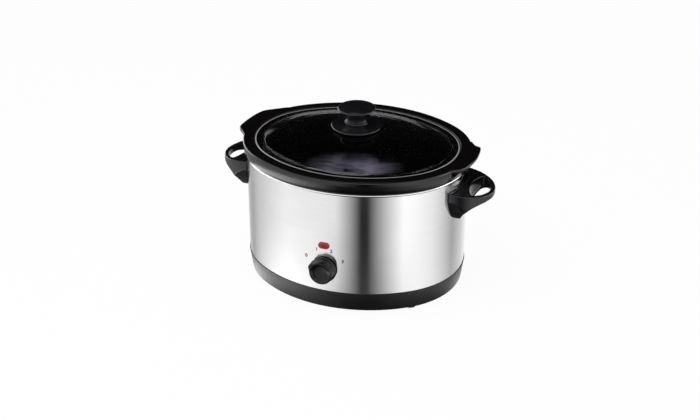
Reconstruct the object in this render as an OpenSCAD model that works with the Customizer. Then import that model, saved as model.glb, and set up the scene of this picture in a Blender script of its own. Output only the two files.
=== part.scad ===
// Oval countertop slow cooker. Millimetres, +Z up, feet on Z = 0, front towards -Y.
// Most pieces are ovals drawn as four arcs, so that one profile runs round each of them.

/* [Housing] */
// Half length of the steel wall
wall_a = 165; // [163:1:168]
// Half depth of the steel wall
wall_b = 136.5; // [135:0.5:138]
// Height at which the base ring ends and the steel shows
wall_bottom = 36; // [34:1:38]
// Height at which the rolled bead of the steel wall starts
wall_top = 190.5; // [189:0.5:192]
// Thickness of the steel wall
sheet = 0.8; // [0.6:0.1:1]
// Radius of the rolled bead round the top of the wall
bead_r = 1.9; // [1.6:0.1:2]

/* [Base] */
// Height of the base ring above the worktop
foot_h = 5; // [4:0.5:6]
// Radius of a rubber foot
foot_r = 10; // [8:1:10]
// Place of a foot along the length
foot_x = 111; // [105:1:111]
// Place of a foot across the depth
foot_y = 77; // [72:1:77]

/* [Stoneware pot] */
// Half length of the pot's rim
rim_a = 171; // [170:1:173]
// Half depth of the pot's rim
rim_b = 141; // [140:1:142]
// Height of the top of the rim
rim_top = 215; // [213:0.5:217]
// Thickness of the pot's wall
pot_wall = 7.5; // [6:0.5:8]
// Thickness of a lug
lug_t = 6; // [5:0.5:7]

/* [Lid] */
// Height of the flat middle of the glass
glass_top = 236.8; // [235:0.1:238]
// Thickness of the glass
glass_t = 4; // [3:0.5:4]
// Radius of the round skirt under the lid knob
skirt_r = 37.2; // [34:0.1:39]
// Radius of the lid knob's disc
knob_r = 28; // [25:0.5:30]
// Overall height, at the middle of the lid knob
knob_top = 270.5; // [268:0.5:273]

/* [Handles] */
// Distance from the loop's centre to the tip of a handle
loop_a = 52; // [50:1:53]
// Half width of a handle's loop
loop_b = 48.5; // [47:0.5:50]
// Distance from the middle of the cooker to the loop's centre
loop_x = 158; // [156:1:158]
// Wall thickness of the loop
loop_t = 6; // [5:0.5:7]
// Thickness of the handle's top over its moulding pockets
web_t = 4; // [3:0.5:5]
// Distance from the middle of the cooker to the near side of the finger hole
hole_x = 175; // [174:0.5:177]
// Height of the foot of the handle
handle_foot = 132.5; // [130:0.5:135]

/* [Controls] */
// Height of the dial's axis
dial_z = 71; // [68:1:74]
// Radius of the dial's skirt
dial_r = 19.5; // [19:0.5:21]
// How far the dial stands off the wall
dial_depth = 16; // [16:0.5:19]
// Angle from one dial position to the next
dial_step = 40; // [30:5:40]
// Height of the indicator lamp
lamp_z = 109; // [106:1:112]

/* [Hidden] */
$fn = 96;
far = 400;              // longer than any piece
slack = 0.1;            // gap between pieces that are pushed or screwed together
running = 0.05;         // radial clearance of the turning shaft
plate_z = foot_h + 3;   // underside of the bottom plate
plate_t = 1;
flange_top = plate_z + plate_t + 2.5;
wall_foot = wall_bottom - 5.8; // the steel wall stands inside the base ring's lip from here up
lip_z = wall_top + 0.3; // inward lip that carries the heating well
well_z = 44;            // underside of the well's floor
shield_z = 28.2;
stud_r = 2.5;
seat_z = wall_top + 4;  // underside of the pot's rim
ledge_z = rim_top - 5.7;
pot_z = 49;
wall_slope = 0.0651;    // how far the well leans out for each millimetre of height
well_low = -23.5;       // the well's outer face, measured from the wall, at well_low_z
well_low_z = 60;
band = [62, 104];       // heights of the heater band
band_t = 2;
wool = [60, 106];       // heights of the glass wool blanket
wool_t = 5;
screw_xz = [146, 162];  // heights of a handle's two screws
hole_r = 62;            // radius of the finger hole's near side
lean_r = 80;            // radius of a handle's leaning sides
lean_half = 50;         // half width of a handle at lean_z
lean_z = 178;
hollow_r = 44;          // radius of a handle's hollow underside, and its centre
hollow_x = loop_x + 53;
hollow_z = 115.5;
inner_rise = 7;         // how much higher the underside is between a handle's side walls
tip_z = 168.8;          // height of the sloping top 2 mm beyond the tip
gland_z = 20.5;
lead_r = 1.1;           // radius of an insulated lead
front = -wall_b;        // the wall's outer face at the dial
base_screw = [[60, 112.2], [60, -112.2], [-60, 112.2], [-60, -112.2], [151, 0], [-151, 0]];
off_angle = -1.5 * dial_step;
shaft_out = 10.5;       // how far the dial's shaft stands out of the wall

// Keeps the part of a profile that lies on the outer side of its axis.
module outer_side() {
  intersection() {
    translate([0, -far]) square([far, 2*far]);
    children();
  }
}

// Runs a profile round an oval of half length a and half depth b. The profile's x is the distance
// outside the oval and its y is the height. End arcs turn about (±3u, 0) and side arcs about
// (0, ±4u), so the arcs meet smoothly on the lines that join those centres.
module oval(a, b) {
  u = (a - b)/2;
  for (s = [1, -1]) {
    intersection() {
      translate([s*3*u, 0]) rotate_extrude() outer_side() translate([a - 3*u, 0]) children();
      linear_extrude(2*far, center = true)
        polygon([[s*3*u, 0], [s*(3*u + 300), 400], [s*(3*u + 300), -400]]);
    }
    intersection() {
      translate([0, -s*4*u]) rotate_extrude() outer_side() translate([b + 4*u, 0]) children();
      linear_extrude(2*far, center = true)
        polygon([[3*u - 0.75, -s], [300, s*(400 - 4*u)], [-300, s*(400 - 4*u)], [0.75 - 3*u, -s]]);
    }
  }
}

// Runs a profile round the steel wall's own oval.
module round_wall() {
  oval(wall_a, wall_b) children();
}

// The well's outer face at height z, measured from the steel wall.
function well_face(z) = well_low + wall_slope*(z - well_low_z);

// A cylinder along +Y from y0 to y1, at x and z.
module along_y(x, z, y0, y1, r, r2 = undef) {
  translate([x, y0, z]) rotate([-90, 0, 0]) cylinder(r1 = r, r2 = is_undef(r2) ? r : r2, h = y1 - y0);
}

// A cylinder along X from x0 to x1, at height z in the plane Y = 0.
module along_x(z, x0, x1, r) {
  translate([x0, 0, z]) rotate([0, 90, 0]) cylinder(r = r, h = x1 - x0);
}

// ---- Base ----

module base_ring() {
  color("#26242a") difference() {
    union() {
      round_wall() polygon([[-7.5, foot_h], [-5, foot_h + 0.5], [-3.6, foot_h + 1.8], [-3, foot_h + 4],
        [0.6, wall_bottom - 2.5], [0.9, wall_bottom - 1.4], [0.7, wall_bottom - 0.4],
        [slack, wall_bottom], [slack, wall_foot], [-2.4, wall_foot],
        [-5.6, flange_top], [-24, flange_top], [-24, plate_z + plate_t], [-8.5, plate_z + plate_t],
        [-8.5, foot_h]]);
      for (p = base_screw) translate([p.x, p.y, flange_top - 1]) cylinder(r = 4.5, h = 11);
    }
    for (p = base_screw) translate([p.x, p.y, 0]) cylinder(r = 1.9 + slack/2, h = flange_top + 8);
    for (x = [-foot_x, foot_x], y = [-foot_y, foot_y]) translate([x, y, 0]) cylinder(r = 3.2, h = 14);
    along_y(0, gland_z, wall_b - 20, wall_b + 10, 7.1);
  }
}

module bottom_plate() {
  color("#8d8f92") difference() {
    round_wall() translate([-far, plate_z]) square([far - 9, plate_t]);
    translate([0, 0, plate_z - 1]) linear_extrude(plate_t + 2) {
      for (p = base_screw) translate(p) circle(r = 2.3);
      for (x = [-foot_x, foot_x], y = [-foot_y, foot_y]) translate([x, y]) circle(r = 3.2);
      circle(r = stud_r + 0.3);
      for (i = [-3:3], s = [-1, 1]) translate([14*i, 48*s]) square([5, 34], center = true);
    }
  }
}

module feet() {
  color("#1b1b1c") for (x = [-foot_x, foot_x], y = [-foot_y, foot_y]) translate([x, y, 0]) {
    rotate_extrude() polygon([[0, 0], [foot_r - 1.6, 0], [foot_r - 0.6, 0.6], [foot_r, 2], [foot_r, plate_z],
      [3.1, plate_z], [3.1, flange_top], [4.2, flange_top], [2.6, flange_top + 2.5], [0, flange_top + 2.5]]);
  }
}

module base_screws() {
  color("#b9babd") for (p = base_screw) translate([p.x, p.y, 0]) {
    difference() {
      translate([0, 0, plate_z - 2.2]) cylinder(r1 = 3.2, r2 = 4, h = 2.2);
      translate([0, 0, plate_z - 1.7]) cube([5, 0.8, 2], center = true);
      translate([0, 0, plate_z - 1.7]) cube([0.8, 5, 2], center = true);
    }
    translate([0, 0, plate_z]) cylinder(r = 1.9 - slack/2, h = 11);
  }
}

module stud_nut() {
  color("#b9babd") difference() {
    translate([0, 0, plate_z - 3.6]) cylinder(r = 4.6, h = 3.6, $fn = 6);
    cylinder(r = stud_r + running, h = 20);
  }
}

// ---- Wall and heating well ----

module outer_wrap() {
  color("#d5d2cf") difference() {
    round_wall() {
      translate([-sheet, wall_foot]) square([sheet, wall_top - wall_foot + 0.5]);
      translate([-bead_r + 1, wall_top + 1.8]) circle(r = bead_r);
      translate([-8, lip_z]) square([8 - sheet/2, sheet]);
    }
    along_y(0, dial_z, front - 5, front + 20, 5.5);
    for (x = [-14, 14]) along_y(x, dial_z, front - 5, front + 20, 1.7);
    lamp_slot(front - 5, front + 20, 4.6);
    for (z = screw_xz) along_x(z, -wall_a - 5, wall_a + 5, 2.3);
  }
}

module heating_well() {
  z = lip_z + sheet;
  color("#a9abae") round_wall() polygon([[-3.1, z], [-14, z], [-15, z - 1], [well_low, well_low_z],
    [-25, 52], [-29, 46.5], [-36, well_z], [-far, well_z], [-far, well_z + 1], [-35.8, well_z + 1],
    [-29.6, 47.3], [-26, 52.4], [well_low - 1, well_low_z + 0.2], [-16, z - 0.8], [-15, z + sheet],
    [-3.1, z + sheet]]);
}

module well_stud() {
  color("#b9babd") translate([0, 0, plate_z - 3.8]) cylinder(r = stud_r, h = well_z - plate_z + 3.8);
}

module stud_spacers() {
  color("#b9babd") difference() {
    union() {
      translate([0, 0, plate_z + plate_t]) cylinder(r = 5, h = shield_z - plate_z - plate_t);
      translate([0, 0, shield_z + sheet]) cylinder(r = 5, h = well_z - shield_z - sheet);
    }
    cylinder(r = stud_r + 0.3, h = 60);
  }
}

module heat_shield() {
  color("#bfc1c4") difference() {
    round_wall() polygon([[-far, shield_z], [-33.2, shield_z], [-33.2, shield_z + 6], [-34, shield_z + 6],
      [-34, shield_z + sheet], [-far, shield_z + sheet]]);
    cylinder(r = stud_r + 0.3, h = 60);
  }
}

// ---- Heater ----

module heater_band() {
  gap = slack;
  color("#9a8f80") union() {
    difference() {
      round_wall() polygon([[well_face(band[0]) + gap, band[0]], [well_face(band[0]) + gap + band_t, band[0]],
        [well_face(band[1]) + gap + band_t, band[1]], [well_face(band[1]) + gap, band[1]]]);
      translate([-22, 0, 0]) cube([44, far, far]);
    }
    for (s = [-1, 1], z = [72, 94]) translate([s*23 - 1, 114.1, z - 2.5]) cube([2, 7.4, 5]);
  }
}

module band_springs() {
  color("#b9babd") for (z = [72, 94]) translate([0, 119.2, z]) rotate([0, 90, 0]) {
    cylinder(r = 2.4, h = 28, center = true);
    cylinder(r = 0.7, h = 44, center = true);
  }
}

module heater_terminals() {
  face = band_t + 2*slack;
  color("#e6e1d6") difference() {
    for (x = [-38, -30]) along_y(x, 74, -124, -110.5, 2.8);
    round_wall() polygon([[-far, band[0]], [well_face(band[0]) + face, band[0]],
      [well_face(band[1]) + face, band[1]], [-far, band[1]]]);
  }
}

module insulation_wrap() {
  inner0 = well_face(wool[0]) + band_t + 2*slack;
  inner1 = well_face(wool[1]) + band_t + 2*slack;
  color("#efece4") difference() {
    round_wall() polygon([[inner0, wool[0]], [inner0 + wool_t, wool[0]], [inner1 + wool_t, wool[1]],
      [inner1, wool[1]]]);
    translate([-44, -far, 0]) cube([70, far, 94]);
    translate([-27, 0, 0]) cube([54, far, far]);
  }
}

module thermal_fuse() {
  color("#e9e4da") translate([46, 0, 40.2]) rotate([0, 90, 0]) {
    cylinder(r = 2.6, h = 44, center = true);
    cylinder(r = 1, h = 56, center = true);
  }
}

module fuse_clip() {
  color("#b9babd") for (x = [34, 58]) translate([x, 0, 40.2]) {
    difference() {
      translate([-3, -4.4, -3.6]) cube([6, 8.8, well_z - 40.2 + 3.6]);
      rotate([0, 90, 0]) cylinder(r = 2.7, h = 20, center = true);
    }
  }
}

// ---- Handles ----

// The loop of a handle in plan, t inside its outer face, from height z upwards.
module loop(t, z, h) {
  translate([loop_x, 0, z]) scale([loop_a - t, loop_b - t, 1]) cylinder(r = 1, h = h);
}

// The space between a handle's two sides, t inside their outer faces. They lean inwards to the foot.
module between_sides(t) {
  intersection_for (s = [-1, 1]) translate([0, s*(lean_r - lean_half), lean_z])
    rotate([0, 90, 0]) cylinder(r = lean_r - t, h = far);
}

// The hollow curve of a handle's underside, raised by dz.
module underside(dz) {
  translate([hollow_x, 0, hollow_z + dz]) rotate([90, 0, 0]) cylinder(r = hollow_r, h = 2*far, center = true);
}

// A handle's outer shape before its openings: a round loop with a flat sloping top. Its two sides lean
// inwards towards the foot, and its underside is one hollow curve.
module handle_block() {
  beyond = loop_x + loop_a + 2;
  difference() {
    intersection() {
      loop(0, handle_foot, 60);
      between_sides(0);
      rotate([90, 0, 0]) linear_extrude(2*far, center = true)
        polygon([[wall_a - 35, 179.3], [beyond, tip_z], [beyond, 120], [wall_a - 35, 120]]);
    }
    underside(0);
    round_wall() translate([-far, 90]) square([far + slack, 110]);
  }
}

// Right handle: the block with its finger hole, a raised underside between the side walls, two
// moulding pockets and two screw bores.
module handle() {
  difference() {
    handle_block();
    intersection() {
      loop(loop_t, 0, far);
      translate([hole_x + hole_r, 0, 0]) cylinder(r = hole_r, h = far);
    }
    intersection() {
      loop(loop_t, 0, far);
      between_sides(loop_t);
      underside(inner_rise);
    }
    for (s = [-1, 1]) handle_pocket(s);
    for (z = screw_xz) along_x(z, wall_a - 5, wall_a + 6.6, 1.9 + slack/2);
  }
}

// A pocket that is open below, between the finger hole's wall and the foot against the steel.
module handle_pocket(s) {
  difference() {
    intersection() {
      loop(loop_t, 100, 70 - web_t);
      between_sides(loop_t);
      translate([0, s*(14 + far/2), 100]) cube([2*far, far, far], center = true);
    }
    translate([hole_x + hole_r, 0, 0]) cylinder(r = hole_r + 3.5, h = far);
    round_wall() translate([-far, 90]) square([far + 5, 110]);
  }
}

module left_handle() {
  color("#1e1d20") mirror([1, 0, 0]) handle();
}

module right_handle() {
  color("#1e1d20") handle();
}

module handle_plates() {
  color("#b9babd") difference() {
    intersection() {
      round_wall() translate([-sheet - 1.6, 100]) square([1.5, 80]);
      union() {
        for (s = [-1, 1]) translate([s*wall_a - 20, -12, 138]) cube([40, 24, 32]);
      }
    }
    for (z = screw_xz) along_x(z, -wall_a, wall_a, 2.2);
  }
}

module handle_screws() {
  inner = wall_a - sheet - 1.6;
  color("#b9babd") for (s = [0, 1], z = screw_xz) mirror([s, 0, 0]) {
    along_x(z, inner - 2.4, inner - 0.1, 3.8);
    along_x(z, inner - 0.2, wall_a + 6.5, 1.9 - slack/2);
  }
}

// ---- Controls ----

// An oval prism along Y at the indicator lamp, grown to radius r about its two ends.
module lamp_slot(y0, y1, r) {
  for (x = [-3.5, 3.5]) along_y(x, lamp_z, y0, y1, r);
  translate([-3.5, y0, lamp_z - r]) cube([7, y1 - y0, 2*r]);
}

module rotary_switch() {
  color("#2b2b2e") difference() {
    union() {
      translate([-16, front + 1.7, dial_z - 15]) cube([32, 16.3, 30]);
      along_y(0, dial_z, front - 3, front + 2, 5);
    }
    along_y(0, dial_z, front - 5, front + 10, 3 + running);
    along_y(0, dial_z, front + 4.5, front + 15, 9.1);
    for (x = [-14, 14]) along_y(x, dial_z, front, front + 9, 1.3);
  }
}

module switch_tabs() {
  color("#c8a24a") for (x = [-9, -3, 3, 9]) translate([x - 1, front + 8.6, dial_z - 22]) cube([2, 0.8, 7]);
}

module switch_screws() {
  color("#b9babd") for (x = [-14, 14]) {
    along_y(x, dial_z, front - 1, front - 0.05, 2.6);
    along_y(x, dial_z, front - 0.5, front + 8, 1.2);
  }
}

module switch_cam() {
  color("#d9d4c4") difference() {
    along_y(0, dial_z, front + 5, front + 14.5, 8.8);
    along_y(0, dial_z, front, front + 14, 3);
    for (i = [0:3]) rotate_dial(off_angle + i*dial_step) along_y(0, dial_z + 9.2, front, front + 20, 1.3);
  }
}

// Turns its children about the dial's axis, clockwise seen from the front.
module rotate_dial(angle) {
  translate([0, 0, dial_z]) rotate([0, angle, 0]) translate([0, 0, -dial_z]) children();
}

module switch_shaft() {
  color("#c9cacc") difference() {
    along_y(0, dial_z, front - shaft_out, front + 14, 3);
    translate([-5, front - shaft_out - 1, dial_z + 2]) cube([10, 7, 5]);
  }
}

// The dial: a skirt, a tapered body with a dished face, and a blunt nose that points at the setting.
module control_knob() {
  color("#141416") difference() {
    union() {
      translate([0, front, dial_z]) rotate([90, 0, 0]) rotate_extrude() polygon([[0, 1.5], [dial_r - 0.6, 1.5],
        [dial_r, 2.2], [dial_r, 3.4], [dial_r - 0.8, 4.4], [dial_r - 1.4, 6], [dial_r - 1.9, dial_depth - 2],
        [dial_r - 2.4, dial_depth - 0.7], [dial_r - 3.4, dial_depth], [dial_r - 4.6, dial_depth - 0.4],
        [dial_r - 7.5, dial_depth - 2.4], [0, dial_depth - 3.6]]);
      rotate_dial(off_angle) translate([0, front - 4, dial_z]) rotate([90, 0, 0])
        linear_extrude(dial_depth - 5) polygon([[-8.5, dial_r - 6.5], [-8.5, dial_r - 4.6], [-3.2, dial_r + 0.9],
          [3.2, dial_r + 0.9], [8.5, dial_r - 4.6], [8.5, dial_r - 6.5]]);
    }
    along_y(0, dial_z, front - 5, front, 6.2);
    difference() {
      along_y(0, dial_z, front - shaft_out - 0.2, front, 3 + slack/2);
      translate([-5, front - shaft_out - 1, dial_z + 2 + slack/2]) cube([10, 6.8, 5]);
    }
  }
}

module indicator_lens() {
  color("#b3202a") {
    lamp_slot(front - 2, front - slack/2, 5);
    lamp_slot(front - 0.5, front + 5.5, 4.4);
  }
}

module lamp_clip() {
  color("#b9babd") difference() {
    lamp_slot(front + 1.2, front + 2.4, 6.6);
    lamp_slot(front, front + 4, 4.5);
  }
}

module neon_lamp() {
  color("#e9b9a0") {
    along_y(0, lamp_z, front + 5.6, front + 15, 2.8);
    along_y(0, lamp_z, front + 14.5, front + 17, 1.6);
  }
}

module cord_gland() {
  color("#1b1b1c") difference() {
    union() {
      along_y(0, gland_z, wall_b - 9, wall_b - 6.1, 8.5);
      along_y(0, gland_z, wall_b - 7, wall_b + 1, 6.9);
      along_y(0, gland_z, wall_b + 0.4, wall_b + 3, 9.5);
      along_y(0, gland_z, wall_b + 2.5, wall_b + 14, 7.8, 6);
    }
    along_y(0, gland_z, wall_b - 12, wall_b + 16, 3.6);
  }
}

module terminal_block() {
  color("#d8d2c2") difference() {
    translate([-15, 91, plate_z + plate_t]) cube([30, 14, 12]);
    for (x = [-9, 0, 9]) {
      translate([x, 98, plate_z + plate_t + 6]) cylinder(r = 2.2, h = 10);
      along_y(x, plate_z + plate_t + 4, 85, 110, 1.3);
    }
  }
}

// A lead: straight runs with a round joint at each bend, and round ends.
module lead(points) {
  for (i = [1:len(points) - 1]) hull() {
    translate(points[i - 1]) sphere(r = lead_r, $fn = 8);
    translate(points[i]) sphere(r = lead_r, $fn = 8);
  }
}

module wiring() {
  tab_y = front + 9;
  tab_z = dial_z - 22 - slack - lead_r;
  color("#8c2f24") {
    lead([[-9, 96, 13], [-9, 84, 13], [-80, 60, 16], [-96, -40, 16], [-40, -98, 16], [-9, tab_y, 22],
      [-9, tab_y, tab_z]]);
    lead([[9, 96, 13], [9, 84, 13], [120, 40, 16], [137, 0, 22], [137, 0, 38], [100, 0, 40.2],
      [74 + slack + lead_r, 0, 40.2]]);
    lead([[-3, tab_y, tab_z], [-3, -121, 42], [-38, -121, 46], [-38, -126, 58], [-38, -126, 74.5]]);
    lead([[9, tab_y, tab_z], [9, tab_y, 42], [28, -128, 44], [28, -128, 100],
      [8, -121, lamp_z + 3], [2.2, -120.8, lamp_z + 2.4]]);
  }
}

// ---- Pot ----

// Cuts the corners of a closed outline n times over, which rounds it.
function rounded(p, n) = n == 0 ? p : rounded([for (i = [0:len(p) - 1], t = [0.25, 0.75])
  p[i] + t*(p[(i + 1)%len(p)] - p[i])], n - 1);

// Outline of the two lifting lugs. Each runs out along the rim at one side and ends in a short hollow
// corner at the other: at the front on the left lug, at the back on the right one.
module lugs_outline() {
  polygon(rounded([[151, -47], [158, -53], [164, -47.5], [171.5, -42.5], [176.5, -32], [179.8, -14],
    [181.3, 3], [181, 14], [179.8, 27], [178, 37.5], [176, 39.5], [172, 40.8], [168, 43], [164, 48],
    [160, 55], [152, 50], [158, 30], [158, -28]], 3));
  polygon(rounded([[-146, 56], [-138, 70], [-139, 81.5], [-145, 77.8], [-153, 71.5], [-163, 64],
    [-171.5, 57], [-176, 47.5], [-179.8, 32], [-182, 13], [-182.8, -3], [-182.4, -11.5], [-181, -14.5],
    [-177, -20], [-171.5, -26], [-167, -33], [-161, -39], [-154, -32], [-158, 0], [-156, 35]], 3));
}

module stoneware_pot() {
  w = pot_wall;
  color("#121013") union() {
    oval(rim_a, rim_b) polygon([[-far, pot_z], [-52, pot_z], [-44, pot_z + 1.5], [-38.5, pot_z + 5.5],
      [-35.5, pot_z + 12], [-34.5, pot_z + 19], [-24.5, seat_z - 8], [-23.5, seat_z],
      [-5, seat_z], [-3, seat_z + 0.7], [-1.8, seat_z + 2.5], [-1, seat_z + 10], [-0.2, rim_top - 3],
      [-0.6, rim_top - 1.2], [-1.8, rim_top - 0.3], [-3.5, rim_top], [-16, rim_top],
      [-17, rim_top - 0.8], [-17.2, ledge_z], [-30.5, ledge_z], [-31.8, ledge_z - 1], [-32.2, ledge_z - 3],
      [-34.5 - w, pot_z + 21], [-36 - w, pot_z + 14], [-40 - w, pot_z + w + 2], [-48 - w, pot_z + w],
      [-far, pot_z + w]]);
    translate([0, 0, rim_top - lug_t]) linear_extrude(lug_t) lugs_outline();
  }
}

// ---- Lid ----

module lid_glass() {
  t = glass_top;
  f = rim_top - 1.4;
  color([0.35, 0.37, 0.4, 0.6]) difference() {
    oval(rim_a, rim_b) polygon([[-18.3, ledge_z + 0.2], [-18.3, f - 0.6], [-18.9, f], [-27, f], [-31, f + 1.8],
      [-45, t - 15.8], [-65, t - 9.2], [-85, t - 4.2], [-105, t - 1], [-118, t], [-far, t],
      [-far, t - glass_t], [-118, t - glass_t], [-105, t - glass_t - 1], [-85, t - glass_t - 4.2],
      [-65, t - glass_t - 9.2], [-45, t - glass_t - 15.8], [-33, f - 1.8], [-29.5, ledge_z + 0.2]]);
    cylinder(r = 3.2, h = far);
  }
}

module knob_gasket() {
  color("#3a3a3c") difference() {
    translate([0, 0, glass_top]) cylinder(r = 12, h = 0.8);
    cylinder(r = 3, h = far);
  }
}

module knob_skirt() {
  z = glass_top + 0.8;
  color("#1c1b1e") rotate_extrude() polygon([[3, z], [skirt_r - 1.4, z], [skirt_r - 0.2, z + 0.7], [skirt_r, z + 1.8],
    [skirt_r - 0.5, z + 2.7], [skirt_r - 2, z + 3.2], [24, z + 4.6], [18.5, z + 5.4], [3, z + 5.4]]);
}

module lid_knob() {
  z = glass_top + 6.2;
  color("#1c1b1e") rotate_extrude() polygon([[stud_r + running, z], [16.8, z], [17.3, z + 0.8], [17.3, z + 2.2],
    [16.4, z + 3], [15.4, z + 3.6], [15.2, z + 10.5], [16.6, z + 14], [20, z + 17.6], [25, z + 20.2],
    [knob_r - 0.6, z + 21.4], [knob_r, z + 22.4], [knob_r - 0.3, z + 23.4], [knob_r - 1.6, z + 24.3],
    [20, knob_top - 1.1], [10, knob_top - 0.2], [0, knob_top], [0, z + 15], [stud_r + running, z + 15]]);
}

module knob_washer() {
  color("#b9babd") difference() {
    translate([0, 0, glass_top - glass_t - 0.9]) cylinder(r = 9, h = 0.9);
    cylinder(r = 3, h = far);
  }
}

module knob_screw() {
  z = glass_top - glass_t - 0.9;
  color("#c9cacc") difference() {
    union() {
      translate([0, 0, z - 2.8]) cylinder(r1 = 4, r2 = 4.8, h = 2.8);
      translate([0, 0, z - 0.5]) cylinder(r = stud_r, h = 25);
    }
    translate([0, 0, z - 2.4]) cube([6, 1, 2], center = true);
  }
}

base_ring();
bottom_plate();
feet();
base_screws();
stud_nut();
outer_wrap();
heating_well();
well_stud();
stud_spacers();
heat_shield();
heater_band();
band_springs();
heater_terminals();
insulation_wrap();
thermal_fuse();
fuse_clip();
left_handle();
right_handle();
handle_plates();
handle_screws();
rotary_switch();
switch_tabs();
switch_screws();
switch_cam();
switch_shaft();
control_knob();
indicator_lens();
lamp_clip();
neon_lamp();
cord_gland();
terminal_block();
wiring();
stoneware_pot();
lid_glass();
knob_gasket();
knob_skirt();
lid_knob();
knob_washer();
knob_screw();
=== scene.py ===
import math

import bmesh
import bpy
from mathutils import Matrix, Vector


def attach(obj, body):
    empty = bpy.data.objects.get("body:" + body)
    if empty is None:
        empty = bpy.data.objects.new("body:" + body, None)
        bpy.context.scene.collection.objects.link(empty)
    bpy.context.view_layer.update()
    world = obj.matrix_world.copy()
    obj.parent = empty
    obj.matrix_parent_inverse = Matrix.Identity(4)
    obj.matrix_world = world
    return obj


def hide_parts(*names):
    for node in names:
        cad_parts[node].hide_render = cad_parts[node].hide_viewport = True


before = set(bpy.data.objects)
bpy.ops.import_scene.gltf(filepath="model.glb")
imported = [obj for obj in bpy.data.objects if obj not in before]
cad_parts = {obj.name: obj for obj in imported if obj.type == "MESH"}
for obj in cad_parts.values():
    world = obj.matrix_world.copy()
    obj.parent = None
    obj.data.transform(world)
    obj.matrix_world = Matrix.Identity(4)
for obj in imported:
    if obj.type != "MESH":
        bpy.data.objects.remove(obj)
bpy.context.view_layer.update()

# ---- Camera ----
# A long lens, twenty degrees to the right of the front and twenty-seven above the worktop.
camera_at = Vector((0.6017, -1.6700, 1.0184))
aimed_at = Vector((-0.00930, -0.00322, 0.09930))
lens = bpy.data.cameras.new("studio_camera")
lens.lens = 68.29
lens.sensor_width = 36
camera = bpy.data.objects.new("studio_camera", lens)
camera.location = camera_at
camera.rotation_euler = (camera_at - aimed_at).to_track_quat("Z", "Y").to_euler()
bpy.context.scene.collection.objects.link(camera)
bpy.context.scene.camera = camera

# ---- Base ring ----
# The ring under the steel wall: one moulding in satin black polypropylene, which leans out from the feet
# to a rounded lip. The steel stands inside the lip, and the plate is screwed up into the flange.


def linear(code):
    """A colour written in sRGB hex, as linear RGBA."""
    parts = [int(code[i:i + 2], 16) / 255 for i in (1, 3, 5)]
    return [p / 12.92 if p <= 0.04045 else ((p + 0.055) / 1.055) ** 2.4 for p in parts] + [1]


def feed(node, feeds):
    """Feeds a node's inputs with plain values or with other nodes' outputs."""
    for name, value in feeds.items():
        if isinstance(value, bpy.types.NodeSocket):
            node.id_data.links.new(value, node.inputs[name])
        else:
            node.inputs[name].default_value = value


def add_node(tree, kind, feeds, **settings):
    """Adds a node with its settings and links, and returns its outputs."""
    made = tree.nodes.new(kind)
    for name, value in settings.items():
        setattr(made, name, value)
    feed(made, feeds)
    return made.outputs


def new_finish(name, **constants):
    """A material named for a finish, whose constants sit on the shader's own sockets."""
    finish = bpy.data.materials.new(name)
    finish.use_nodes = True
    shader = finish.node_tree.nodes["Principled BSDF"]
    feed(shader, {socket.replace("_", " "): value for socket, value in constants.items()})
    return finish, finish.node_tree, shader


def moulded(name, deep, pale, roughness, grain_mm, relief, **constants):
    """Moulded plastic or rubber: two near tones in soft patches about 35 mm across, the fine grain of the
    mould, and a gloss that wanders a little with both."""
    finish, tree, shader = new_finish(name, **constants)
    place = add_node(tree, "ShaderNodeTexCoord", {})["Object"]
    patches = add_node(tree, "ShaderNodeTexNoise", {"Vector": place, "Scale": 1000 / 35, "Detail": 3})["Fac"]
    grain = add_node(tree, "ShaderNodeTexNoise", {
        "Vector": place, "Scale": 1000 / grain_mm, "Detail": 2})["Fac"]
    both = add_node(tree, "ShaderNodeMath", {0: patches, 1: grain}, operation="MULTIPLY")["Value"]
    feed(shader, {
        "Base Color": add_node(tree, "ShaderNodeMixRGB", {
            "Fac": patches, "Color1": linear(deep), "Color2": linear(pale)})["Color"],
        "Roughness": add_node(tree, "ShaderNodeMapRange", {
            "Value": both, "From Min": 0.1, "From Max": 0.4,
            "To Min": roughness - 0.04, "To Max": roughness + 0.05})["Result"],
        "Normal": add_node(tree, "ShaderNodeBump", {
            "Height": grain, "Strength": relief, "Distance": 0.0002})["Normal"]})
    return finish


def section(points, rounds=(), closed=True):
    """A section in mm in the plane Y = 0, with x outwards and z up. Each of rounds names a corner by its
    place in points, and how far from the corner its rounding starts."""
    shape = bmesh.new()
    corners = [shape.verts.new((x, 0, z)) for x, z in points]
    shape.faces.new(corners)
    for corner, setback in rounds:
        bmesh.ops.bevel(shape, geom=[corners[corner]], offset=setback, offset_type="OFFSET", segments=5,
                        profile=0.5, affect="VERTICES", material=-1)
    bmesh.ops.delete(shape, geom=shape.faces[:], context="FACES_ONLY")
    if not closed:
        shape.edges.remove(shape.edges.get((corners[0], corners[-1])))
    return shape


merge_mm = 0.002


def run_round(shape, half_length, half_depth):
    """Runs a section round an oval of four arcs: ends about (3u, 0) and sides about (0, 4u)."""
    u = (half_length - half_depth) / 2
    joint = math.atan2(4, 3)
    start = (Matrix.Translation((3 * u, 0, 0)) @ Matrix.Rotation(-joint, 4, "Z")
             @ Matrix.Translation((half_length - 3 * u, 0, 0)))
    bmesh.ops.transform(shape, matrix=start, verts=shape.verts)
    last = shape.verts[:] + shape.edges[:]
    for x, y, angle, steps in ((3 * u, 0, 2 * joint, 36), (0, -4 * u, math.pi - 2 * joint, 24),
                               (-3 * u, 0, 2 * joint, 36), (0, 4 * u, math.pi - 2 * joint, 24)):
        last = bmesh.ops.spin(shape, geom=last, cent=(x, y, 0), axis=(0, 0, 1), angle=angle,
                              steps=steps)["geom_last"]
    bmesh.ops.remove_doubles(shape, verts=shape.verts, dist=merge_mm)
    return shape


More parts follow.
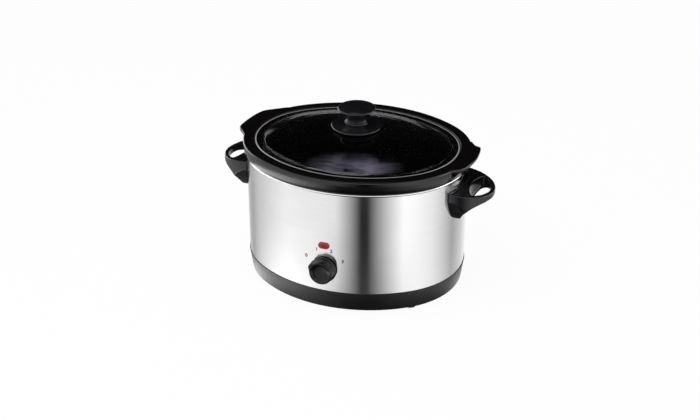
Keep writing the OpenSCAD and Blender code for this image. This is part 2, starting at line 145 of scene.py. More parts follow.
def finished(shape, name, finish, sharp=32):
    """A finished piece from a shape in mm: doubles merged, faces outwards, then in metres at the origin,
    smooth except where two faces meet at more than the sharp angle. The operators leave the faces in an
    order that changes from run to run, so they are put in order of place."""
    bmesh.ops.remove_doubles(shape, verts=shape.verts, dist=merge_mm)
    bmesh.ops.recalc_face_normals(shape, faces=shape.faces)
    by_place = sorted(shape.faces, key=lambda face: [round(c, 3) for c in face.calc_center_median()])
    for number, face in enumerate(by_place):
        face.index = number
    shape.faces.sort()
    bmesh.ops.scale(shape, vec=(0.001, 0.001, 0.001), verts=shape.verts)
    mesh = bpy.data.meshes.new(name)
    shape.to_mesh(mesh)
    shape.free()
    mesh.shade_smooth()
    mesh.set_sharp_from_angle(angle=math.radians(sharp))
    mesh.materials.append(finish)
    made = bpy.data.objects.new(name, mesh)
    bpy.context.scene.collection.objects.link(made)
    return made


wall_a, wall_b = 165, 136.5
polypropylene = moulded("satin_black_polypropylene", "#0d0c0e", "#131214", 0.34, 0.9, 0.25)
base = finished(run_round(section(
    [(-8.5, 5), (-3.6, 5), (0.9, 35.9), (0.1, 35.9), (0.1, 30.2), (-2.4, 30.2), (-5.6, 11.5), (-24, 11.5),
     (-24, 9), (-8.5, 9)], [(1, 3.4), (2, 0.7)]), wall_a, wall_b), "base_moulding", polypropylene)
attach(base, "housing")
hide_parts("base_ring")

# ---- Bottom plate ----
# Galvanised sheet steel, pressed and slotted for air. The zinc has frozen in flat crystals of slightly
# different greys.


def finish_nodes(finish, *names):
    """Puts a finish on nodes that keep the shape they have."""
    for name in names:
        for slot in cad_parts[name].material_slots:
            slot.material = finish


def plated(name, deep, pale, roughness, crystal_mm, **constants):
    """Plated or coated metal: crystals of two near tones, and a gloss that differs from one to the next."""
    finish, tree, shader = new_finish(name, Metallic=1.0, **constants)
    place = add_node(tree, "ShaderNodeTexCoord", {})["Object"]
    crystals = add_node(tree, "ShaderNodeTexVoronoi", {"Vector": place, "Scale": 1000 / crystal_mm})["Color"]
    feed(shader, {
        "Base Color": add_node(tree, "ShaderNodeMixRGB", {
            "Fac": crystals, "Color1": linear(deep), "Color2": linear(pale)})["Color"],
        "Roughness": add_node(tree, "ShaderNodeMapRange", {
            "Value": crystals, "To Min": roughness - 0.06, "To Max": roughness + 0.06})["Result"]})
    return finish


galvanised = plated("galvanised_sheet", "#8b8e91", "#a9acae", 0.42, 7)
finish_nodes(galvanised, "bottom_plate")

# ---- Feet ----
# Four moulded rubber feet, pulled up through the plate by their waists. Rubber is dull and picks up dust,
# which shows as slightly paler patches.
foot_rubber = moulded("matt_foot_rubber", "#151515", "#232324", 0.68, 0.7, 0.4)
finish_nodes(foot_rubber, "feet")

# ---- Screws, studs and clips ----
# Cold-headed and turned steel parts, with the springs, clips and stiffening plates that go with them. All
# have bright zinc plating, which is faintly mottled.
zinc = plated("bright_zinc_plating", "#a3a5a9", "#c4c6ca", 0.30, 2.2)
finish_nodes(zinc, "base_screws", "stud_nut", "well_stud", "stud_spacers", "band_springs", "fuse_clip",
             "handle_plates", "handle_screws", "switch_screws", "lamp_clip")

# ---- Steel wall ----
# One band of 0.8 mm stainless steel, rolled to the oval, with a rolled bead round the top and a lip that
# carries the heating well. It is brushed round the oval, so its highlights spread up and down.


def only_verts(geometry):
    """The vertices among what an operator gives back."""
    return [part for part in geometry if isinstance(part, bmesh.types.BMVert)]


bead_r = 1.9
bead_x, bead_z = -0.9, 192.3
lip_top = 191.6
wall_foot = 30.2
wall_shape = bmesh.new()
outer_z = bead_z - math.sqrt(bead_r ** 2 - bead_x ** 2)
inner_turn = math.asin((bead_z - lip_top) / bead_r)
start_turn = math.acos(-bead_x / bead_r)
start_vert = wall_shape.verts.new((0, 0, outer_z))
bead = bmesh.ops.spin(wall_shape, geom=[start_vert], cent=(bead_x, 0, bead_z), axis=(0, -1, 0),
                      angle=start_turn + math.pi + inner_turn, steps=18)
run = only_verts(bead["geom_last"])[0]
for x, z in ((-8, lip_top), (-8, lip_top - 0.8), (-0.8, lip_top - 0.8), (-0.8, wall_foot), (0, wall_foot),
             (0, 60), (0, 90), (0, 120), (0, 150), (0, 175)):
    following = wall_shape.verts.new((x, 0, z))
    wall_shape.edges.new((run, following))
    run = following
wall_shape.edges.new((run, start_vert))
run_round(wall_shape, wall_a, wall_b)
grain_map = wall_shape.loops.layers.uv.new("grain")
for face in wall_shape.faces:
    for loop in face.loops:
        loop[grain_map].uv = (loop.vert.co.z / 100, math.atan2(loop.vert.co.y, loop.vert.co.x))

brushed, tree, shader = new_finish("brushed_stainless_steel", Metallic=1.0, Anisotropic=0.6)
place = add_node(tree, "ShaderNodeTexCoord", {})["Object"]
# Brush lines are about 0.1 mm apart on the real sheet, and are drawn 1 mm apart so that they can show.
# Each runs about 110 mm round the oval. Clouds about 70 mm across are where the belt pressed harder.
along = add_node(tree, "ShaderNodeMapping", {"Vector": place, "Scale": (9, 9, 1000 / 1)})["Vector"]
lines = add_node(tree, "ShaderNodeTexNoise", {"Vector": along, "Scale": 1, "Detail": 3})["Fac"]
clouds = add_node(tree, "ShaderNodeTexNoise", {"Vector": place, "Scale": 14, "Detail": 2})["Fac"]
feed(shader, {
    "Base Color": add_node(tree, "ShaderNodeMixRGB", {
        "Fac": lines, "Color1": linear("#e3e2e2"), "Color2": linear("#ececec")})["Color"],
    "Roughness": add_node(tree, "ShaderNodeMapRange", {
        "Value": clouds, "From Min": 0.3, "From Max": 0.7, "To Min": 0.11, "To Max": 0.14})["Result"],
    "Tangent": add_node(tree, "ShaderNodeTangent", {}, direction_type="UV_MAP", uv_map="grain")["Tangent"],
    "Normal": add_node(tree, "ShaderNodeBump", {
        "Height": lines, "Strength": 0.03, "Distance": 0.0001})["Normal"]})
wall = finished(wall_shape, "steel_wall", brushed)
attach(wall, "housing")
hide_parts("outer_wrap")

# ---- Dial scale ----
# Plain figures for the dial's four positions, pad printed on the steel in black ink. The ink lies flat on
# the metal and is duller than the dial.
dial_z = 71
dial_stops = (-60, -20, 20, 60)
figure_ring = 32
figure_height = 7.5
ink_depth = 0.06
ink_spread = 0.22
ink = moulded("black_pad_print_ink", "#1d1c1e", "#2c2b2e", 0.45, 0.5, 0.1)
scale_shape = bmesh.new()
side_r = wall_b + 2 * (wall_a - wall_b)
for figure, angle in enumerate(dial_stops):
    text = bpy.data.curves.new("figure", "FONT")
    text.body = str(figure)
    text.size = figure_height
    text.align_x = text.align_y = "CENTER"
    text.extrude = ink_depth
    text.offset = ink_spread
    text_object = bpy.data.objects.new("figure", text)
    bpy.context.scene.collection.objects.link(text_object)
    bpy.context.view_layer.update()
    mesh = bpy.data.meshes.new_from_object(text_object.evaluated_get(bpy.context.evaluated_depsgraph_get()))
    x = figure_ring * math.sin(math.radians(angle))
    z = dial_z + figure_ring * math.cos(math.radians(angle))
    lean = math.asin(x / side_r)
    y = side_r - wall_b - side_r * math.cos(lean)
    mesh.transform(Matrix.Translation((x, y, z)) @ Matrix.Rotation(lean, 4, "Z")
                   @ Matrix.Rotation(math.pi / 2, 4, "X"))
    scale_shape.from_mesh(mesh)
    bpy.data.objects.remove(text_object)
figures = finished(scale_shape, "dial_figures", ink)
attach(figures, "housing")

# ---- Heating well and heat shield ----
# The pan that the pot stands in and the dished shield below it, both drawn from aluminised steel. The
# coating has a soft grey sheen and fine crystals.
aluminised = plated("aluminised_sheet", "#96999c", "#b2b4b6", 0.38, 1.6)
finish_nodes(aluminised, "heating_well", "heat_shield")

# ---- Heater band ----
# A resistance winding between sheets of mica, wrapped round the well and closed by springs. The mica is in
# brown-grey flakes with a dull glitter.
mica, tree, shader = new_finish("flaked_mica_sheet", IOR=1.58)
place = add_node(tree, "ShaderNodeTexCoord", {})["Object"]
flakes = add_node(tree, "ShaderNodeTexVoronoi", {"Vector": place, "Scale": 1000 / 5})["Color"]
feed(shader, {
    "Base Color": add_node(tree, "ShaderNodeMixRGB", {
        "Fac": flakes, "Color1": linear("#7c7061"), "Color2": linear("#b3a68f")})["Color"],
    "Roughness": add_node(tree, "ShaderNodeMapRange", {
        "Value": flakes, "To Min": 0.35, "To Max": 0.7})["Result"]})
finish_nodes(mica, "heater_band")

# ---- Terminals and fuse ----
# The beads of the band's terminals and the fuse's ceramic case, pressed from steatite and fired without a
# glaze, so they are pale and slightly chalky.
porcelain = moulded("unglazed_steatite", "#ddd7cb", "#ece8df", 0.6, 0.4, 0.3)
finish_nodes(porcelain, "heater_terminals", "thermal_fuse")

# ---- Insulation ----
# A blanket of white glass wool, laid round the band. Its matted fibres run mostly round the well, and it is
# dull all over.
wool, tree, shader = new_finish("matted_glass_wool", Roughness=0.95)
place = add_node(tree, "ShaderNodeTexCoord", {})["Object"]
# The fibres are hair-thin, and are drawn as strands 5 mm long and about 1 mm apart so that they can show.
laid = add_node(tree, "ShaderNodeMapping", {"Vector": place, "Scale": (1000 / 5, 1000 / 5, 900)})["Vector"]
fibres = add_node(tree, "ShaderNodeTexNoise", {"Vector": laid, "Scale": 1, "Detail": 5})["Fac"]
feed(shader, {
    "Base Color": add_node(tree, "ShaderNodeMixRGB", {
        "Fac": fibres, "Color1": linear("#d5d1c6"), "Color2": linear("#f6f4ee")})["Color"],
    "Normal": add_node(tree, "ShaderNodeBump", {
        "Height": fibres, "Strength": 0.8, "Distance": 0.001})["Normal"]})
finish_nodes(wool, "insulation_wrap")

# ---- Handles ----
# Two hollow loops moulded in black phenolic, each held by two screws from inside the wall. The mould
# leaves every edge rounded, and the surface is half gloss.


def softened(node, name, finish, cell_mm, passes):
    """A piece with the shape of a node, its edges rounded as a mould rounds them: a merged copy is
    remeshed in fine cells and smoothed."""
    shape = bmesh.new()
    shape.from_mesh(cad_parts[node].data)
    bmesh.ops.remove_doubles(shape, verts=shape.verts, dist=0.000002)
    bmesh.ops.scale(shape, vec=(1000, 1000, 1000), verts=shape.verts)
    rough = finished(shape, name, finish)
    rough.modifiers.new("cells", "REMESH").voxel_size = cell_mm / 1000
    smooth = rough.modifiers.new("rounding", "SMOOTH")
    smooth.factor = 0.5
    smooth.iterations = passes
    mesh = bpy.data.meshes.new_from_object(rough.evaluated_get(bpy.context.evaluated_depsgraph_get()))
    rough.modifiers.clear()
    rough.data = mesh
    mesh.shade_smooth()
    mesh.materials.clear()
    mesh.materials.append(finish)
    return rough


phenolic = moulded("half_gloss_black_phenolic", "#0d0b0f", "#141217", 0.22, 1.1, 0.04)
for side in ("left", "right"):
    handle = softened(side + "_handle", side + "_grip", phenolic, 1.0, 8)
    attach(handle, "housing")
    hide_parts(side + "_handle")

# ---- Switch ----
# A rotary switch moulded in dark grey phenolic and screwed to the wall behind the dial, with pressed brass
# tabs and a nylon cam on the dial's plated shaft.
switch_phenolic = moulded("dark_grey_phenolic", "#242427", "#313134", 0.5, 0.8, 0.3)
finish_nodes(switch_phenolic, "rotary_switch")
brass = plated("plain_brass", "#b08c3c", "#cfaa55", 0.28, 1.5)
finish_nodes(brass, "switch_tabs")
nylon = moulded("natural_nylon", "#cfcabb", "#dedacb", 0.42, 1.0, 0.1, Subsurface_Weight=0.15)
finish_nodes(nylon, "switch_cam")
finish_nodes(zinc, "switch_shaft")

# ---- Dial ----
# A moulded dial in gloss black: a thin skirt, a body that narrows to a raised rim, a dished face, and one
# blunt nose that points at the setting.
dial_r = 19.5
dial_depth = 16


def turned(shape, steps=96):
    """Turns a section right round the Z axis."""
    bmesh.ops.spin(shape, geom=shape.verts[:] + shape.edges[:], cent=(0, 0, 0), axis=(0, 0, 1),
                   angle=2 * math.pi, steps=steps, use_merge=True)
    bmesh.ops.remove_doubles(shape, verts=shape.verts, dist=merge_mm)
    return shape


def thickened(shape, push):
    """Makes a flat outline solid by pushing its face out, as far as push says in mm."""
    moved = bmesh.ops.extrude_face_region(shape, geom=shape.faces[:])["geom"]
    bmesh.ops.translate(shape, vec=push, verts=only_verts(moved))


def joined(body, tool):
    """Joins a tool's shape to a body, and removes the tool."""
    change = body.modifiers.new("change", "BOOLEAN")
    change.object = tool
    change.operation = "UNION"
    change.solver = "EXACT"
    mesh = bpy.data.meshes.new_from_object(body.evaluated_get(bpy.context.evaluated_depsgraph_get()))
    body.modifiers.clear()
    body.data = mesh
    bpy.data.objects.remove(tool)


gloss_black = moulded("gloss_black_moulding", "#09090b", "#0f0f11", 0.2, 1.4, 0.08, IOR=1.36)
dial_shape = turned(section(
    [(3.1, 1.5), (dial_r, 1.5), (dial_r, 4.1), (dial_r - 1.4, 5), (dial_r - 2.3, dial_depth),
     (dial_r - 4.6, dial_depth), (dial_r - 7.5, dial_depth - 2.9), (0, dial_depth - 3.6), (0, 10.7),
     (3.1, 10.7)],
    [(1, 0.6), (2, 0.7), (3, 0.8), (4, 1.2), (5, 0.9), (6, 2.4)]))
nose_root, nose_tip = 8.5, 3.2
nose_shape = section(
    [(-nose_root, dial_r - 6.5), (-nose_root, dial_r - 4.6), (-nose_tip, dial_r + 0.9),
     (nose_tip, dial_r + 0.9), (nose_root, dial_r - 4.6), (nose_root, dial_r - 6.5)], [(2, 1.6), (3, 1.6)])
bmesh.ops.contextual_create(nose_shape, geom=nose_shape.edges[:])
thickened(nose_shape, (0, -(dial_depth - 5), 0))
front_rim = [e for e in nose_shape.edges if all(v.co.y < -1 for v in e.verts)]
bmesh.ops.bevel(nose_shape, geom=front_rim, offset=0.9, offset_type="OFFSET", segments=4, profile=0.5,
                affect="EDGES", material=-1)
on_wall = Matrix.Translation((0, -wall_b, dial_z))
bmesh.ops.transform(dial_shape, matrix=on_wall @ Matrix.Rotation(math.pi / 2, 4, "X"), verts=dial_shape.verts)
bmesh.ops.transform(nose_shape, matrix=on_wall @ Matrix.Rotation(math.radians(dial_stops[0]), 4, "Y")
                    @ Matrix.Translation((0, -4, 0)), verts=nose_shape.verts)
dial = finished(dial_shape, "dial_cap", gloss_black)
joined(dial, finished(nose_shape, "dial_nose", gloss_black))
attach(dial, "dial")
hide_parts("control_knob")

# ---- Indicator ----
# A clear red lens, moulded in acrylic and pushed through a slot in the steel. It is ribbed, and its colour is
# painted
# # darker in the middle: a painted shade that stands for the dark lamp seen through it.
lamp_z = 109
lens_half_w, lens_half_h = 8.5, 5
lens_shape = section(
    [(-lens_half_w, -lens_half_h), (lens_half_w, -lens_half_h), (lens_half_w, lens_half_h),
     (-lens_half_w, lens_half_h)], [(corner, lens_half_h - 0.01) for corner in range(4)])
bmesh.ops.contextual_create(lens_shape, geom=lens_shape.edges[:])
thickened(lens_shape, (0, -2.6, 0))
lens_rim = [e for e in lens_shape.edges if all(v.co.y < -1 for v in e.verts)]
bmesh.ops.bevel(lens_shape, geom=lens_rim, offset=1.3, offset_type="OFFSET", segments=5, profile=0.5,
                affect="EDGES", material=-1)
bmesh.ops.translate(lens_shape, vec=(0, 0.6 - wall_b, lamp_z), verts=lens_shape.verts)
red_lens, tree, shader = new_finish("clear_red_acrylic", IOR=1.49, Transmission_Weight=0.25)
place = add_node(tree, "ShaderNodeTexCoord", {})["Object"]
# The painted shade in the middle fades out over an oval of about 9 by 5 mm either way, and the ribs are 1.5 mm
# apart.
across, upwards = 110, 210
about = add_node(tree, "ShaderNodeMapping", {
    "Vector": place, "Location": (0, 0, -lamp_z / 1000 * upwards), "Scale": (across, 0, upwards)})["Vector"]
painted_shade_from_middle = add_node(tree, "ShaderNodeVectorMath", {0: about}, operation="LENGTH")["Value"]
ribs = add_node(tree, "ShaderNodeTexWave", {
    "Vector": place, "Scale": 1000 / 1.5 / 6.28}, bands_direction="Z")["Fac"]
# The base colour goes from the painted dark middle to the lens's own red towards the rim.
feed(shader, {
    "Base Color": add_node(tree, "ShaderNodeMixRGB", {
        "Fac": painted_shade_from_middle, "Color1": linear("#5e0c16"), "Color2": linear("#c3202c")})["Color"],
    "Roughness": add_node(tree, "ShaderNodeMapRange", {
        "Value": ribs, "To Min": 0.12, "To Max": 0.2})["Result"],
    "Normal": add_node(tree, "ShaderNodeBump", {
        "Height": ribs, "Strength": 0.3, "Distance": 0.0002})["Normal"]})
red = finished(lens_shape, "red_lens", red_lens)
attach(red, "housing")
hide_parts("indicator_lens")

# ---- Neon lamp ----
# A small blown glass bulb, held behind the lens by its clip. Blown glass is smooth, and only the faint
# clouding from its electrodes breaks the gloss.
bulb, tree, shader = new_finish("clouded_lamp_glass", IOR=1.5, Transmission_Weight=0.8)
place = add_node(tree, "ShaderNodeTexCoord", {})["Object"]
cloud = add_node(tree, "ShaderNodeTexNoise", {"Vector": place, "Scale": 1000 / 2.5})["Fac"]
feed(shader, {
    "Base Color": add_node(tree, "ShaderNodeMixRGB", {
        "Fac": cloud, "Color1": linear("#e0a284"), "Color2": linear("#f3d3c4")})["Color"],
    "Roughness": add_node(tree, "ShaderNodeMapRange", {
        "Value": cloud, "To Min": 0.05, "To Max": 0.2})["Result"]})
finish_nodes(bulb, "neon_lamp")

# ---- Lead gland ----
# A moulded rubber bush in the base ring, low at the back, for the mains lead. It is smoother than the feet
# and has a slight sheen.
gland_rubber = moulded("smooth_gland_rubber", "#171717", "#212122", 0.55, 0.8, 0.3)
finish_nodes(gland_rubber, "cord_gland")

# ---- Terminal block and leads ----
# A block moulded in cream thermosetting plastic, and leads sleeved in red-brown silicone on glass braid.
# The sleeves are matt, with a slight texture.
block = moulded("cream_thermoset", "#cfc8b6", "#ddd8c9", 0.5, 0.9, 0.2)
finish_nodes(block, "terminal_block")
sleeve = moulded("silicone_on_glass_braid", "#7c271d", "#9a3a2c", 0.6, 0.5, 0.6)
finish_nodes(sleeve, "wiring")

# ---- Stoneware pot ----
# A slip-cast pot with a wide flat rim and two lifting lugs, in a deep gloss black glaze. The glaze has a
# slight orange-peel skin, and thins to dark brown at the edges.
rim_a, rim_b = 171, 141
rim_top = 215
seat_z = 194.5
ledge_z = 209.3
pot_shape = run_round(section(
    [(-75, 49), (-35.6, 49), (-34.1, 72), (-23.8, seat_z), (-2.0, seat_z), (-0.1, rim_top), (-17.1, rim_top),
     (-17.2, ledge_z), (-31.9, ledge_z), (-43.4, 56.5), (-75, 56.5)],
    [(1, 13), (2, 8), (3, 1), (4, 3.2), (5, 3.2), (6, 1.3), (7, 0.8), (8, 2), (9, 12)], closed=False),
    rim_a, rim_b)
bmesh.ops.holes_fill(pot_shape, edges=[e for e in pot_shape.edges if e.is_boundary], sides=0)

lug_t = 6
# Each lug runs out along the rim at one side, and ends in a short hollow corner at the other.
right_lug = [(151, -47), (158, -53), (164, -47.5), (171.5, -42.5), (176.5, -32), (179.8, -14), (181.3, 3),
             (181, 14), (179.8, 27), (178, 37.5), (176, 39.5), (172, 40.8), (168, 43), (164, 48), (160, 55),
             (152, 50), (158, 30), (158, -28)]
left_lug = [(-146, 56), (-138, 70), (-139, 81.5), (-145, 77.8), (-153, 71.5), (-163, 64), (-171.5, 57),
            (-176, 47.5), (-179.8, 32), (-182, 13), (-182.8, -3), (-182.4, -11.5), (-181, -14.5), (-177, -20),
            (-171.5, -26), (-167, -33), (-161, -39), (-154, -32), (-158, 0), (-156, 35)]


def rounded(outline, times):
    """Cuts the corners of a closed outline several times over, which rounds it."""
    for _ in range(times):
        sides = list(zip(outline, outline[1:] + outline[:1]))
        outline = [((1 - t) * start[0] + t * end[0], (1 - t) * start[1] + t * end[1])
                   for start, end in sides for t in (0.25, 0.75)]
    return outline


glaze, tree, shader = new_finish("gloss_black_glaze", IOR=1.5)
place = add_node(tree, "ShaderNodeTexCoord", {})["Object"]
peel = add_node(tree, "ShaderNodeTexNoise", {"Vector": place, "Scale": 1000 / 6, "Detail": 2})["Fac"]
pooling = add_node(tree, "ShaderNodeTexNoise", {"Vector": place, "Scale": 1000 / 60, "Detail": 3})["Fac"]
feed(shader, {
    "Base Color": add_node(tree, "ShaderNodeMixRGB", {
        "Fac": pooling, "Color1": linear("#060505"), "Color2": linear("#0f0b0c")})["Color"],
    "Roughness": add_node(tree, "ShaderNodeMapRange", {
        "Value": pooling, "To Min": 0.09, "To Max": 0.17})["Result"],
    "Normal": add_node(tree, "ShaderNodeBump", {
        "Height": peel, "Strength": 0.12, "Distance": 0.0005})["Normal"]})
pot = finished(pot_shape, "glazed_pot", glaze)
for outline in (right_lug, left_lug):
    lug_shape = bmesh.new()
    lug_shape.faces.new([lug_shape.verts.new((x, y, rim_top - lug_t)) for x, y in rounded(outline, 3)])
    thickened(lug_shape, (0, 0, lug_t))
    level_rims = [e for e in lug_shape.edges if abs(e.verts[0].co.z - e.verts[1].co.z) < 0.1]
    bmesh.ops.bevel(lug_shape, geom=level_rims, offset=2.0, offset_type="OFFSET", segments=4, profile=0.5,
                    affect="EDGES", clamp_overlap=True, material=-1)
    joined(pot, finished(lug_shape, "lug", glaze))
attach(pot, "pot")
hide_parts("stoneware_pot")

# ---- Glass lid ----
# A domed lid pressed from 4 mm clear glass and toughened. Its ground edge is pale grey, partly from the
# grinding's frosting and partly a painted highlight line. It
# # hangs in the pot's ledge, and has one hole in the middle for the knob's screw.
glass_top = 236.8
glass_t = 4
flat_z = rim_top - 1.4
edge_x = -18.3
seam_t = 1.9
screw_hole_r = 3.2
lid_shape = run_round(section(
    [(-118, glass_top - glass_t), (-105, glass_top - glass_t - 1), (-85, glass_top - glass_t - 4.2),
     (-65, glass_top - glass_t - 9.2), (-45, glass_top - glass_t - 15.8), (-33, flat_z - 1.8),
     (-29.5, ledge_z + 0.2), (edge_x, ledge_z + 0.2), (edge_x, flat_z), (edge_x - seam_t, flat_z),
     (-29, flat_z), (-45, glass_top - 15.8), (-65, glass_top - 9.2), (-85, glass_top - 4.2),
     (-105, glass_top - 1), (-118, glass_top)],
    [(1, 6), (2, 6), (3, 6), (4, 6), (5, 2), (7, 0.5), (8, 0.8), (10, 4), (11, 6), (12, 6), (13, 6), (14, 6)],
    closed=False), rim_a, rim_b)
outer_loops = [e for e in lid_shape.edges if e.is_boundary]
for z in (glass_top, glass_top - glass_t):
    rim_loop = [e for e in outer_loops if abs(e.verts[0].co.z - z) < 0.01]
    hole = bmesh.ops.create_circle(lid_shape, cap_ends=False, radius=screw_hole_r, segments=len(rim_loop),
                                   matrix=Matrix.Translation((0, 0, z)))["verts"]
    hole_loop = list({e for v in hole for e in v.link_edges})
    bmesh.ops.bridge_loops(lid_shape, edges=rim_loop + hole_loop)
bmesh.ops.bridge_loops(lid_shape, edges=[e for e in lid_shape.edges if e.is_boundary])

clear_glass, tree, shader = new_finish("clear_toughened_glass", IOR=1.5, Transmission_Weight=1.0)
place = add_node(tree, "ShaderNodeTexCoord", {})["Object"]
waver = add_node(tree, "ShaderNodeTexNoise", {"Vector": place, "Scale": 1000 / 45, "Detail": 1})["Fac"]
feed(shader, {
    "Base Color": add_node(tree, "ShaderNodeMixRGB", {
        "Fac": waver, "Color1": linear("#e6ebe9"), "Color2": linear("#f1f4f3")})["Color"],
    "Roughness": add_node(tree, "ShaderNodeMapRange", {
        "Value": waver, "To Min": 0.02, "To Max": 0.06})["Result"],
    "Normal": add_node(tree, "ShaderNodeBump", {
        "Height": waver, "Strength": 0.05, "Distance": 0.001})["Normal"]})
# The outer strip of the top is painted pale grey: a frosted ground edge and a painted highlight line in one.
ground_edge_painted_highlight, tree, shader = new_finish("ground_glass_edge_and_painted_highlight", IOR=1.5)
place = add_node(tree, "ShaderNodeTexCoord", {})["Object"]
ground = add_node(tree, "ShaderNodeTexNoise", {"Vector": place, "Scale": 1000 / 3, "Detail": 3})["Fac"]
feed(shader, {
    "Base Color": add_node(tree, "ShaderNodeMixRGB", {
        "Fac": ground, "Color1": linear("#8d908e"), "Color2": linear("#afb2b0")})["Color"],
    "Roughness": add_node(tree, "ShaderNodeMapRange", {
        "Value": ground, "To Min": 0.12, "To Max": 0.25})["Result"]})
lid = finished(lid_shape, "glass_dome", clear_glass)
lid.data.materials.append(ground_edge_painted_highlight)
u = (rim_a - rim_b) / 2
# Faces on the outer strip of the top take the pale edge finish, with its painted highlight.
for face in lid.data.polygons:
    x, y, z = (abs(c) * 1000 for c in face.center)
    at_end = 3 * y < 4 * (x - 3 * u)
    outside = math.hypot(x - 3 * u, y) + 3 * u - rim_a if at_end else math.hypot(x, y + 4 * u) - 4 * u - rim_b
    if outside > edge_x - 0.1 - seam_t and z > flat_z - 1:
        face.material_index = 1
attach(lid, "lid")
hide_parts("lid_glass")

# ---- Knob gasket, washer and screw ----
# A moulded silicone disc between the glass and the knob, and below the glass the plated washer and screw
# that hold the knob down. Silicone is dull and even.
silicone = moulded("dark_silicone_rubber", "#2f2f31", "#3c3c3e", 0.5, 1.0, 0.2)
finish_nodes(silicone, "knob_gasket")
finish_nodes(zinc, "knob_washer", "knob_screw")

# ---- Lid knob ----
# Two turned mouldings in black phenolic: a wide skirt that rests on the gasket, and above it a knob with
# a waisted stem and a broad, nearly flat disc.
skirt_r = 37.2
skirt_z = glass_top + 0.8
knob_phenolic = moulded("polished_black_phenolic", "#0f0f12", "#17171a", 0.20, 1.2, 0.1)
skirt = finished(turned(section(
    [(3, skirt_z), (skirt_r, skirt_z), (skirt_r, skirt_z + 3), (24, skirt_z + 4.6), (18.5, skirt_z + 5.4),
     (3, skirt_z + 5.4)], [(1, 0.9), (2, 1.3), (3, 3), (4, 2)])), "knob_plate", knob_phenolic)
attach(skirt, "lid")
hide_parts("knob_skirt")

knob_r = 28
knob_top = 270.5
knob_z = glass_top + 6.2
knob = finished(turned(section(
    [(2.55, knob_z), (17.3, knob_z), (17.3, knob_z + 3), (15.2, knob_z + 4), (15.2, knob_z + 10.5),
     (18, knob_z + 16), (24, knob_z + 19.9), (knob_r, knob_z + 21.4), (knob_r - 0.4, knob_z + 24.0),
     (20, knob_top - 1.1), (10, knob_top - 0.2), (0, knob_top), (0, knob_z + 15), (2.55, knob_z + 15)],
    [(1, 0.7), (2, 0.8), (3, 0.6), (4, 3), (5, 3), (6, 2), (7, 1.2), (8, 1.1), (9, 4), (10, 3)])),
    "knob_disc", knob_phenolic)
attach(knob, "lid")
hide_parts("lid_knob")

# ---- Studio ----
# A plain pale floor, and one overhead soft box for form and a soft shadow. Metal, glaze and glass see a ring
# of neutral panels round the table, and matt surfaces see an even white.
floor_half_w = 20000
floor_shape = bmesh.new()
bmesh.ops.create_grid(floor_shape, x_segments=1, y_segments=1, size=floor_half_w)
paper, tree, shader = new_finish("pale_paper_floor", Roughness=0.9)
fibre = add_node(tree, "ShaderNodeTexNoise", {
    "Vector": add_node(tree, "ShaderNodeTexCoord", {})["Object"], "Scale": 3})["Fac"]
feed(shader, {"Base Color": add_node(tree, "ShaderNodeMixRGB", {
    "Fac": fibre, "Color1": linear("#f8f8f8"), "Color2": linear("#fbfbfb")})["Color"]})
# The camera sees the floor almost plain white, with a twentieth of its real shading for the shadow.
seen = add_node(tree, "ShaderNodeLightPath", {})["Is Camera Ray"]
share = add_node(tree, "ShaderNodeMath", {0: seen, 1: 0.95}, operation="MULTIPLY")["Value"]
plain = add_node(tree, "ShaderNodeEmission", {"Color": (1, 1, 1, 1), "Strength": 1})["Emission"]
mixed = add_node(tree, "ShaderNodeMixShader", {0: share, 1: shader.outputs["BSDF"], 2: plain})["Shader"]
tree.links.new(mixed, tree.nodes["Material Output"].inputs["Surface"])
floor = finished(floor_shape, "studio_floor", paper)
floor.visible_glossy = False

soft_box = bpy.data.lights.new("overhead_soft_box", "AREA")
soft_box.energy = 16
soft_box.size = 1.3
soft_box_object = bpy.data.objects.new("overhead_soft_box", soft_box)
soft_box_object.location = (-0.35, -0.7, 1.7)
soft_box_object.rotation_euler = (soft_box_object.location - aimed_at).to_track_quat("Z", "Y").to_euler()
soft_box_object.visible_glossy = False
bpy.context.scene.collection.objects.link(soft_box_object)

world = bpy.data.worlds.new("studio")
bpy.context.scene.world = world
world.use_nodes = True
world.cycles.sampling_method = "NONE"
tree = world.node_tree
direction = add_node(tree, "ShaderNodeTexCoord", {})["Generated"]
axes = add_node(tree, "ShaderNodeSeparateXYZ", {"Vector": direction})
toward = add_node(tree, "ShaderNodeMath", {0: axes["Y"], 1: -1.0}, operation="MULTIPLY")["Value"]
# The angle round the table, from 0 in front to half a turn either way at the back.
round_table = add_node(tree, "ShaderNodeMath", {0: axes["X"], 1: toward}, operation="ARCTAN2")["Value"]
turn = add_node(tree, "ShaderNodeMapRange", {
    "Value": round_table, "From Min": -math.pi, "From Max": math.pi})["Result"]


def ring(shades, strength):
    """A ring of panels. Each is its place, in degrees from the front towards the right, and its colour."""
    outputs = add_node(tree, "ShaderNodeValToRGB", {"Fac": turn})
    elements = outputs["Color"].node.color_ramp.elements
    while len(elements) < len(shades):
        elements.new(0.5)
    for element, (degrees, shade) in zip(elements, shades):
        element.position = (degrees + 180) / 360
        element.color = linear(shade)
    return add_node(tree, "ShaderNodeVectorMath", {
        0: outputs["Color"], "Scale": strength}, operation="SCALE")["Vector"]


def upto(degrees):
    """The height of a direction that many degrees above the horizon."""
    return math.sin(math.radians(degrees))


def stacked(below, above, low, high):
    """One light under another, with a soft change between two heights in degrees above the horizon."""
    share = add_node(tree, "ShaderNodeMapRange", {
        "Value": axes["Z"], "From Min": upto(low), "From Max": upto(high)},
        interpolation_type="SMOOTHSTEP")["Result"]
    return add_node(tree, "ShaderNodeMixRGB", {"Fac": share, "Color1": below, "Color2": above})["Color"]


def both(*spans):
    """Where two values have both risen softly: each is the value, where it starts and where it is full."""
    first, second = [add_node(tree, "ShaderNodeMapRange", {
        "Value": value, "From Min": start, "From Max": full}, interpolation_type="SMOOTHSTEP")["Result"]
        for value, start, full in spans]
    return add_node(tree, "ShaderNodeMath", {0: first, 1: second}, operation="MULTIPLY")["Value"]


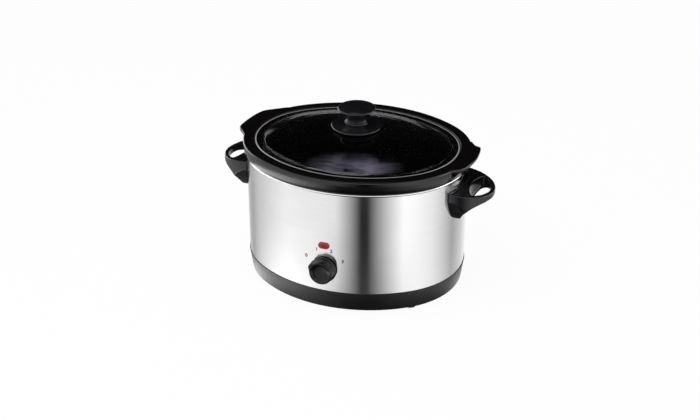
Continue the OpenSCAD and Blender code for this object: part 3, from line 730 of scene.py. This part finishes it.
# Neutral panels stand round the table, with one black gap in front, a little to the right. Below them the
# left of the table lies in the light, and all of it falls into shade towards the cooker.
black, dim_grey, mid_grey, lit_grey, pale_grey, white = (
    "#202020", "#707070", "#999999", "#c0c0c0", "#dedede", "#fafafa")
panels = ring(((-180, pale_grey), (-120, mid_grey), (-60, pale_grey), (-10, pale_grey), (12, black),
               (18, black), (50, white), (90, pale_grey), (130, mid_grey), (180, pale_grey)), 0.9)
table = ((-180, dim_grey), (-100, lit_grey), (-60, lit_grey), (-10, black), (30, black), (70, dim_grey),
         (180, dim_grey))
table_edge = ring(table, 4.6)
table_shade = ring(table, 0.4)
around_table = stacked(table_shade, stacked(table_edge, panels, -33, -31), -44, -38)

# A pale soft box hangs over the panels at the front and the sides. The back wall and the ceiling are dim,
# with one soft bluish lamp behind a clouded screen.
lamp_turn, lamp_height = math.radians(-142), math.radians(71)
lamp = Vector((math.sin(lamp_turn) * math.cos(lamp_height), -math.cos(lamp_turn) * math.cos(lamp_height),
               math.sin(lamp_height)))
lamp_reach, lamp_heart = math.radians(19), math.radians(4)
near = add_node(tree, "ShaderNodeVectorMath", {0: direction, 1: lamp}, operation="DOT_PRODUCT")["Value"]
aside = add_node(tree, "ShaderNodeMath", {0: near}, operation="ARCCOSINE")["Value"]
screen = add_node(tree, "ShaderNodeTexNoise", {"Vector": direction, "Scale": 9, "Detail": 2})["Fac"]
glow = both((aside, lamp_reach, lamp_heart), (screen, 0.3, 0.65))
dim = add_node(tree, "ShaderNodeMixRGB", {
    "Fac": glow, "Color1": linear("#0d0d0e"), "Color2": (1.0, 0.91, 1.22, 1)})["Color"]
back = stacked(around_table, dim, -17, -11)
over_front = (0.8, 0.8, 0.82, 1)
front = stacked(around_table, stacked(over_front, dim, 50, 56), 2, 10)
sideways = add_node(tree, "ShaderNodeMath", {0: round_table}, operation="ABSOLUTE")["Value"]
behind = add_node(tree, "ShaderNodeMapRange", {
    "Value": sideways, "From Min": math.radians(112), "From Max": math.radians(122)},
    interpolation_type="SMOOTHSTEP")["Result"]
room = add_node(tree, "ShaderNodeMixRGB", {"Fac": behind, "Color1": front, "Color2": back})["Color"]

# Beside the table the panels reach higher and are brighter, and draw the thin light lines on rounded edges.
beside = both((sideways, math.radians(84), math.radians(96)), (sideways, math.radians(145), math.radians(130)))
risen = both((axes["Z"], upto(-20), upto(-10)), (axes["Z"], upto(16), upto(8)))
tall = add_node(tree, "ShaderNodeMath", {0: beside, 1: risen}, operation="MULTIPLY")["Value"]
ring_light = add_node(tree, "ShaderNodeBackground", {
    "Color": add_node(tree, "ShaderNodeMixRGB", {
        "Fac": tall, "Color1": room, "Color2": (2, 2, 2, 1)})["Color"], "Strength": 1.5})["Background"]
even_light = add_node(tree, "ShaderNodeBackground", {"Color": (1, 1, 1, 1), "Strength": 0.55})["Background"]
backdrop = add_node(tree, "ShaderNodeBackground", {"Color": (1, 1, 1, 1), "Strength": 1.0})["Background"]
rays = add_node(tree, "ShaderNodeLightPath", {})
lit = add_node(tree, "ShaderNodeMixShader", {
    0: rays["Is Diffuse Ray"], 1: ring_light, 2: even_light})["Shader"]
shown = add_node(tree, "ShaderNodeMixShader", {0: rays["Is Camera Ray"], 1: lit, 2: backdrop})["Shader"]
tree.links.new(shown, tree.nodes["World Output"].inputs["Surface"])

bpy.context.scene.view_settings.view_transform = "Standard"
